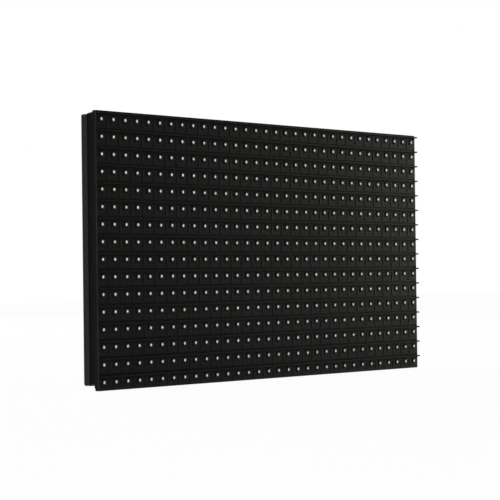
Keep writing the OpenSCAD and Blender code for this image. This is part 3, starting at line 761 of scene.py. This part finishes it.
class MATRIX_OT_chips(bpy.types.Operator):
    """Makes the chips and switches with bent leads, and the solder at their feet"""

    bl_idname = "matrix.chips"
    bl_label = "Chips"

    def execute(self, context):
        thick = context.scene.matrix_sizes.lead_thickness
        colours = context.scene.matrix_colours
        epoxy = plastic_moulded("epoxy_chip_moulded", colours.chip, 0.55, 1.55, 0.15, 0.01)
        tin = metal_finish("tin_plated_leads", colours.tin, 0.32, 0.2, 0.004)
        solder = metal_finish("solder_reflowed", colours.solder, 0.26, 0.4, 0.01)
        joints = []
        for bodies, leads in (
            ("driver_chips", "driver_chip_leads"),
            ("logic_chips", "logic_chip_leads"),
            ("row_switches", "row_switch_leads"),
        ):
            chips, legs = solids(bodies), solids(leads)
            make_piece(f"{bodies}_moulded", self.bodies(chips), epoxy, "chip_body", bodies)
            unit = self.lead(size(legs[0]), thick)
            places = [self.beside(leg, chips) for leg in legs]
            make_piece(f"{leads}_bent", repeated(unit, places), tin, "tin_contact", leads)
            joints.append(repeated(self.fillet(size(legs[0]), thick), places))
        make_piece("lead_solder", together(*joints), solder, "tin_contact", sharp=60)
        return {"FINISHED"}

    def bodies(self, chips):
        """Drafted chip bodies, each with a round dimple by its first lead."""
        whole = size(chips[0])
        long, wide, tall = whole.x, whole.z, whole.y
        draft, edge, corner, from_side = 0.12 * MM, 0.06 * MM, 0.1 * MM, 0.9 * MM
        # How far each section is drawn in on every side, and its height
        sections = [(draft, 0), (0, tall * 0.48), (0, tall * 0.52)]
        sections += [(draft, tall - edge), (draft + edge, tall)]
        shell = skin([rectangle(long - 2 * d, wide - 2 * d, z, corner) for d, z in sections])
        # The dimple's radius and its height above the top, in mm: a raised lip and a shallow dish
        dish = ((0.42, 0.004), (0.4, 0.012), (0.36, 0.004), (0.2, 0.002))
        dimple = skin([ring(20, radius * MM, tall + height * MM) for radius, height in dish])
        first_lead = Matrix.Translation((-long / 2 + from_side, -wide / 2 + from_side, 0))
        unit = together(shell, repeated(dimple, [first_lead]))
        return repeated(unit, [foot(chip) for chip in chips])

    def beside(self, leg, chips):
        """The place of a lead: its root on the side of its own chip, its foot pointing away."""
        middle = centre(leg)
        chip = min(chips, key=lambda c: (centre(c) - middle).length)
        above = middle.z > centre(chip).z
        root = leg[0].z if above else leg[1].z
        return rearward(middle.x, leg[0].y, root, math.pi if above else 0.0)

    def lead(self, whole, thick):
        """A gull-wing lead: out of the body, down, and flat on its pad. The bends are set off from
        the knee and the heel in shares of the lead's thickness."""
        run, rise = whole.z, whole.y
        knee, heel = run * 0.3, run * 0.5
        return strip(
            [
                (0, rise),
                (knee, rise),
                (knee + thick * 0.7, rise - thick * 0.5),
                (heel + thick * 0.6, thick * 1.3),
                (heel + thick * 1.4, thick),
                (run, thick),
                (run, 0),
                (heel, 0),
                (heel - thick * 0.6, thick * 0.5),
                (knee - thick * 0.2, rise - thick * 1.2),
                (knee - thick * 0.6, rise - thick),
                (0, rise - thick),
            ],
            whole.x,
        )

    def fillet(self, whole, thick):
        """Solder round the foot of a lead, on a pad a little larger than the foot."""
        run = whole.z
        # Width beyond the lead in mm, length as a share of its run, height, corner in mm
        sections = [(0.24, 0.95, 0, 0.08), (0.22, 0.92, 0.03 * MM, 0.08)]
        sections += [(0.1, 0.75, 0.07 * MM, 0.05), (0.02, 0.6, thick * 0.8, 0.02)]
        toe = [
            rectangle(whole.x + beyond * MM, run * share, level, corner * MM)
            for beyond, share, level, corner in sections
        ]
        return repeated(skin(toe), [Matrix.Translation((0, run * 0.78, 0))])


class MATRIX_OT_passives(bpy.types.Operator):
    """Makes the electrolytic capacitors, the ceramic capacitors and the resistor arrays"""

    bl_idname = "matrix.passives"
    bl_label = "Capacitors and resistors"

    def execute(self, context):
        colours = context.scene.matrix_colours
        tin = bpy.data.materials["tin_plated_leads"]
        epoxy = bpy.data.materials["epoxy_chip_moulded"]
        drawn = metal_finish("aluminium_can_drawn", colours.can, 0.28, 0.6, 0.006)
        polyester = plastic_moulded("polyester_base_moulded", colours.base, 0.45, 1.55, 0.2, 0.01)
        ceramic = plastic_moulded("ceramic_fired", colours.ceramic, 0.5, 1.6, 0.15, 0.01)
        self.cans(drawn, polyester)
        self.bases(polyester, tin)
        self.chips("ceramic_capacitors", ceramic, tin, "ceramic_body")
        self.arrays(epoxy, tin)
        return {"FINISHED"}

    def cans(self, drawn, polyester):
        """Drawn cans with a rolled foot, a waist and a domed shoulder, and the printed segment
        that marks the negative side."""
        cans = solids("capacitor_cans")
        radius, tall = size(cans[0]).x / 2, size(cans[0]).y
        # How far the wall is drawn in at each height above the foot and then below the top, in mm
        above_foot = ((0.25, 0), (0, 0.1), (0, 0.75), (0.22, 0.95), (0.22, 1.15), (0, 1.35))
        below_top = ((0, 0.55), (0.12, 0.25), (0.4, 0.06), (0.8, 0), (1.0, 0.03))
        loops = [ring(48, radius - inset * MM, level * MM) for inset, level in above_foot]
        loops += [ring(48, radius - inset * MM, tall - level * MM) for inset, level in below_top]
        shape = repeated(skin(loops), [foot(can) for can in cans])
        make_piece("capacitor_cans_drawn", shape, drawn, "can_aluminium", "capacitor_cans")
        arc = [math.radians(a) for a in range(-62, 63, 4)]
        film, sunk = 0.012 * MM, 0.03 * MM
        segment = [[around(a, 0.86 * radius, level) for a in arc] for level in (0, film)]
        marks = [rearward(centre(c).x, c[1].y - sunk, centre(c).z) for c in cans]
        shape = repeated(skin(segment), marks)
        make_piece("capacitor_marks", shape, polyester, "header_plastic")

    def bases(self, polyester, tin):
        """Square bases with broken edges, and the tab of each lead at two of their sides."""
        bases = solids("capacitor_bases")
        side = size(bases[0])
        base = block(side.x, side.z, side.y, edge=0.12 * MM, corner=0.7 * MM)
        shape, node = repeated(base, [foot(b) for b in bases]), "capacitor_bases"
        make_piece(f"{node}_moulded", shape, polyester, "header_plastic", node)
        tab = block(0.9 * MM, 1.6 * MM, 0.25 * MM, edge=0.04 * MM, corner=0.1 * MM)
        reach = side.z / 2 + 0.3 * MM
        ends = [Vector((0, 0, -reach)), Vector((0, 0, reach))]
        tabs = [foot((b[0] + end, b[1] + end)) for b in bases for end in ends]
        make_piece("capacitor_tabs", repeated(tab, tabs), tin, "tin_contact")

    def chips(self, node, ceramic, tin, slot):
        """Fired bodies with a plated cap at each end, which stands a hair proud of them."""
        boxes = solids(node)
        whole = size(boxes[0])
        cap, proud, corner = whole.x * 0.2, 0.02 * MM, 0.08 * MM
        body = block(whole.x - cap, whole.z - 2 * proud, whole.y - proud, 0.05 * MM, corner)
        end = block(cap, whole.z, whole.y, 0.08 * MM, corner)
        reach = (whole.x - cap) / 2
        ends = repeated(end, [Matrix.Translation((s * reach, 0, 0)) for s in (-1, 1)])
        places = [foot(b) for b in boxes]
        make_piece(f"{node}_fired", repeated(body, places), ceramic, slot, node)
        make_piece(f"{node}_caps", repeated(ends, places), tin, "tin_contact")

    def arrays(self, epoxy, tin):
        """Resistor arrays: a dark body with four plated edges along each long side."""
        boxes = solids("resistor_arrays")
        whole = size(boxes[0])
        edge, inward, pads_in_row = 0.05 * MM, 0.08 * MM, 4
        body = block(whole.x, whole.z - 2 * inward, whole.y, edge, corner=0.08 * MM)
        pad = block(0.5 * MM, 0.34 * MM, whole.y * 0.9, edge, corner=0.1 * MM)
        step, reach = whole.x / pads_in_row, whole.z / 2 - 0.15 * MM
        spots = [(i - (pads_in_row - 1) / 2) * step for i in range(pads_in_row)]
        pads = [Matrix.Translation((x, y, 0)) for x in spots for y in (-reach, reach)]
        places, node = [foot(b) for b in boxes], "resistor_arrays"
        make_piece(f"{node}_body", repeated(body, places), epoxy, "chip_body", node)
        make_piece(f"{node}_ends", repeated(repeated(pad, pads), places), tin, "tin_contact")


class MATRIX_OT_connectors(bpy.types.Operator):
    """Finishes the signal headers and the power connector and makes their pointed pins"""

    bl_idname = "matrix.connectors"
    bl_label = "Connectors"

    def execute(self, context):
        colours = context.scene.matrix_colours
        name = "polyester_header_moulded"
        black = plastic_moulded(name, colours.header, 0.42, 1.55, 0.25, 0.012)
        # Nylon without pigment lets a little light in, which softens its shadows
        natural = plastic_moulded("nylon_natural_moulded", colours.power, 0.4, 1.53, 0.3, 0.01)
        shader = natural.node_tree.nodes["Principled BSDF"]
        shader.inputs["Subsurface Weight"].default_value = 0.15
        shader.inputs["Subsurface Scale"].default_value = 1.0 * MM
        gold = metal_finish("gold_flashed_posts", colours.gold, 0.24, 0.3, 0.003)
        tin = bpy.data.materials["tin_plated_leads"]
        dress("input_header", black)
        dress("output_header", black)
        dress("power_connector", natural)
        for node, metal, slot in (
            ("input_header_pins", gold, "gold_contact"),
            ("output_header_pins", gold, "gold_contact"),
            ("power_connector_pins", tin, "tin_contact"),
        ):
            posts = solids(node)
            shape = repeated(self.post(size(posts[0])), [foot(p) for p in posts])
            make_piece(f"{node}_pointed", shape, metal, slot, node)
        return {"FINISHED"}

    def post(self, whole):
        """A square post, pointed at both ends."""
        side, tall = whole.x, whole.y
        tip = side * 0.55
        # Width as a share of the post's, height, corner in mm
        sections = [(0.5, 0, 0.02), (1, tip, 0.04), (1, tall - tip, 0.04), (0.4, tall, 0.02)]
        loops = [
            rectangle(side * share, side * share, level, corner * MM, steps=1)
            for share, level, corner in sections
        ]
        return skin(loops)


class MATRIX_OT_fixings(bpy.types.Operator):
    """Makes the knurled inserts, the mask screws and the locating pins"""

    bl_idname = "matrix.fixings"
    bl_label = "Fixings"

    def execute(self, context):
        colours, sizes = context.scene.matrix_colours, context.scene.matrix_sizes
        brass = metal_finish("brass_turned", colours.brass, 0.3, 0.25, 0.006)
        zinc = metal_finish("steel_zinc_plated", colours.zinc, 0.34, 0.5, 0.008)
        nylon = plastic_moulded("nylon_dark_moulded", colours.pin, 0.42, 1.53, 0.3, 0.01)
        self.inserts(brass, sizes.thread_pitch, sizes.insert_bore / 2)
        self.screws(zinc)
        self.pins(nylon)
        return {"FINISHED"}

    def pins(self, nylon):
        """Pins with a wider foot inside the housing and a rounded tip outside it."""
        pins = solids("locating_pins")
        whole = size(pins[0])
        foot_radius, tall, reach = whole.x / 2, whole.y, pins[0][1].y
        stem, shoulder = foot_radius - 0.15 * MM, 0.05 * MM
        loops = [ring(48, foot_radius, 0), ring(48, foot_radius, tall - reach)]
        loops.append(ring(48, stem, tall - reach + shoulder))
        # The tip: how far it is drawn in, and how far below its end, in mm
        tip = ((0, 1.0), (0.2, 0.6), (0.5, 0.2), (0.95, 0.02), (1.2, 0))
        loops += [ring(48, stem - inset * MM, tall - below * MM) for inset, below in tip]
        shape = repeated(skin(loops), [foot(p) for p in pins])
        make_piece("locating_pins_moulded", shape, nylon, "pin_plastic", "locating_pins")

    def inserts(self, brass, pitch, bore):
        """Bushes with a knurl above and below a plain groove, and a thread in the bore."""
        boxes = solids("fixing_inserts")
        outer, long = size(boxes[0]).x / 2, size(boxes[0]).y
        count, tooth, groove, thread, plain = 60, 0.14 * MM, 0.4 * MM, 0.35 * MM, 0.3 * MM

        def toothed(height):
            step = 2 * math.pi / count
            return [around(step * i, outer - tooth * (i % 2), height) for i in range(count)]

        lead_in, rim, land = 0.3 * MM, 0.2 * MM, 0.25 * MM
        loops = [ring(count, outer - lead_in, 0), toothed(lead_in), toothed(long * 0.33)]
        loops += [ring(count, outer - groove, long * share) for share in (0.38, 0.62)]
        loops += [toothed(long * 0.67), toothed(long - rim), ring(count, outer - rim, long)]
        loops.append(ring(count, bore + thread + land, long))
        for turn in range(int((long - 2 * plain) / pitch)):
            level = long - plain - turn * pitch
            loops.append(ring(count, bore + thread, level))
            loops.append(ring(count, bore, level - pitch / 2))
        loops.append(ring(count, bore, 0))
        loops.append(loops[0])
        shape = repeated(skin(loops, ends=False), [foot(b) for b in boxes])
        make_piece("fixing_inserts_knurled", shape, brass, "insert_brass", "fixing_inserts")

    def screws(self, zinc):
        """Pan-head screws with a cross recess, each turned as far as its thread took it. The
        thread itself is hidden in the housing and the mask, and is left plain."""
        boxes = solids("mask_screws")
        whole = size(boxes[0])
        outer, tall = whole.x / 2, whole.y
        head, core, count = 1.6 * MM, 1.05 * MM, 48
        seat = tall - head

        def cross(reach, arm, height):
            loop = []
            for i in range(count):
                # Turned by a hair, so that no point lies on an axis, where a side is at infinity
                angle = 2 * math.pi * i / count + 0.001
                c, s = abs(math.cos(angle)), abs(math.sin(angle))
                radius = max(min(reach / c, arm / s), min(reach / s, arm / c))
                loop.append(around(angle, radius, height))
            return loop

        loops = [ring(count, core * 0.3, 0), ring(count, core, 0.9 * MM), ring(count, core, seat)]
        # The pan head: how far it is drawn in, in mm, and how high, as a share of its height
        pan = ((0.05, 0), (0, 0.0625), (0, 0.35), (0.18, 0.66), (0.5, 0.88), (0.85, 1))
        loops += [ring(count, outer - inset * MM, seat + head * share) for inset, share in pan]
        # The recess: how far its arms reach, half their width, and how deep, in mm
        recess = ((1.25, 0.34, 0), (1.1, 0.28, 0.3), (0.5, 0.2, 1.0))
        loops += [cross(reach * MM, arm * MM, tall - deep * MM) for reach, arm, deep in recess]
        first, further = 0.4, 0.9
        places = [foot(b, turn=first + further * i) for i, b in enumerate(boxes)]
        shape = repeated(skin(loops), places)
        make_piece("mask_screws_zinc", shape, zinc, "screw_steel", "mask_screws")


class MATRIX_OT_print(bpy.types.Operator):
    """Prints plain white outlines round the parts on the back of the board"""

    bl_idname = "matrix.print"
    bl_label = "Board print"

    def execute(self, context):
        wide = context.scene.matrix_sizes.print_width
        colour = context.scene.matrix_colours.ink
        ink = plastic_moulded("epoxy_ink_screen_printed", colour, 0.6, 1.5, 0.2, 0.004)
        film, beside = 0.015 * MM, 0.8 * MM
        outer_corner, inner_corner = 0.3 * MM, 0.2 * MM
        shapes = []
        # How far each outline clears its part above and below, in mm
        for node, clear in (
            ("driver_chips", 1.6),
            ("logic_chips", 1.7),
            ("row_switches", 1.6),
            ("capacitor_bases", 0.9),
            ("ceramic_capacitors", 0.4),
            ("resistor_arrays", 0.5),
        ):
            boxes = solids(node)
            across = size(boxes[0]).x + beside
            high = size(boxes[0]).z + 2 * clear * MM
            inside = across - 2 * wide, high - 2 * wide
            outer = [rectangle(across, high, level, outer_corner) for level in (0, film)]
            inner = [rectangle(*inside, level, inner_corner) for level in (film, 0)]
            outline = skin([*outer, *inner], ends=False)
            places = [rearward(centre(b).x, BOARD_BACK, centre(b).z) for b in boxes]
            shapes.append(repeated(outline, places))
        make_piece("board_print", together(*shapes), ink, "board")
        return {"FINISHED"}


class MATRIX_PT_panel(bpy.types.Panel):
    """Lists the module's sizes, colours and pieces"""

    bl_idname = "MATRIX_PT_panel"
    bl_label = "LED Dot Matrix"
    bl_space_type = "VIEW_3D"
    bl_region_type = "UI"
    bl_category = "Dot Matrix"

    def draw(self, context):
        for group in (
            context.scene.matrix_sizes,
            context.scene.matrix_colours,
            context.scene.matrix_studio,
        ):
            box = self.layout.box()
            for name in group.__annotations__:
                box.prop(group, name)
        for operator in STEPS:
            self.layout.operator(operator.bl_idname)


GROUPS = (MatrixSizes, MatrixColours, MatrixStudio)
STEPS = (
    MATRIX_OT_camera,
    MATRIX_OT_stage,
    MATRIX_OT_shells,
    MATRIX_OT_lamps,
    MATRIX_OT_windows,
    MATRIX_OT_chips,
    MATRIX_OT_passives,
    MATRIX_OT_connectors,
    MATRIX_OT_fixings,
    MATRIX_OT_print,
)


def register():
    for made in (*GROUPS, *STEPS, MATRIX_PT_panel):
        bpy.utils.register_class(made)
    bpy.types.Scene.matrix_sizes = PointerProperty(type=MatrixSizes)
    bpy.types.Scene.matrix_colours = PointerProperty(type=MatrixColours)
    bpy.types.Scene.matrix_studio = PointerProperty(type=MatrixStudio)


def unregister():
    del bpy.types.Scene.matrix_studio
    del bpy.types.Scene.matrix_colours
    del bpy.types.Scene.matrix_sizes
    for made in reversed((*GROUPS, *STEPS, MATRIX_PT_panel)):
        bpy.utils.unregister_class(made)


def main():
    register()
    bpy.ops.matrix.camera()
    bpy.ops.matrix.stage()
    bpy.ops.matrix.shells()
    bpy.ops.matrix.lamps()
    bpy.ops.matrix.windows()
    bpy.ops.matrix.chips()
    bpy.ops.matrix.passives()
    bpy.ops.matrix.connectors()
    bpy.ops.matrix.fixings()
    bpy.ops.matrix.print()


if __name__ == "__main__":
    main()
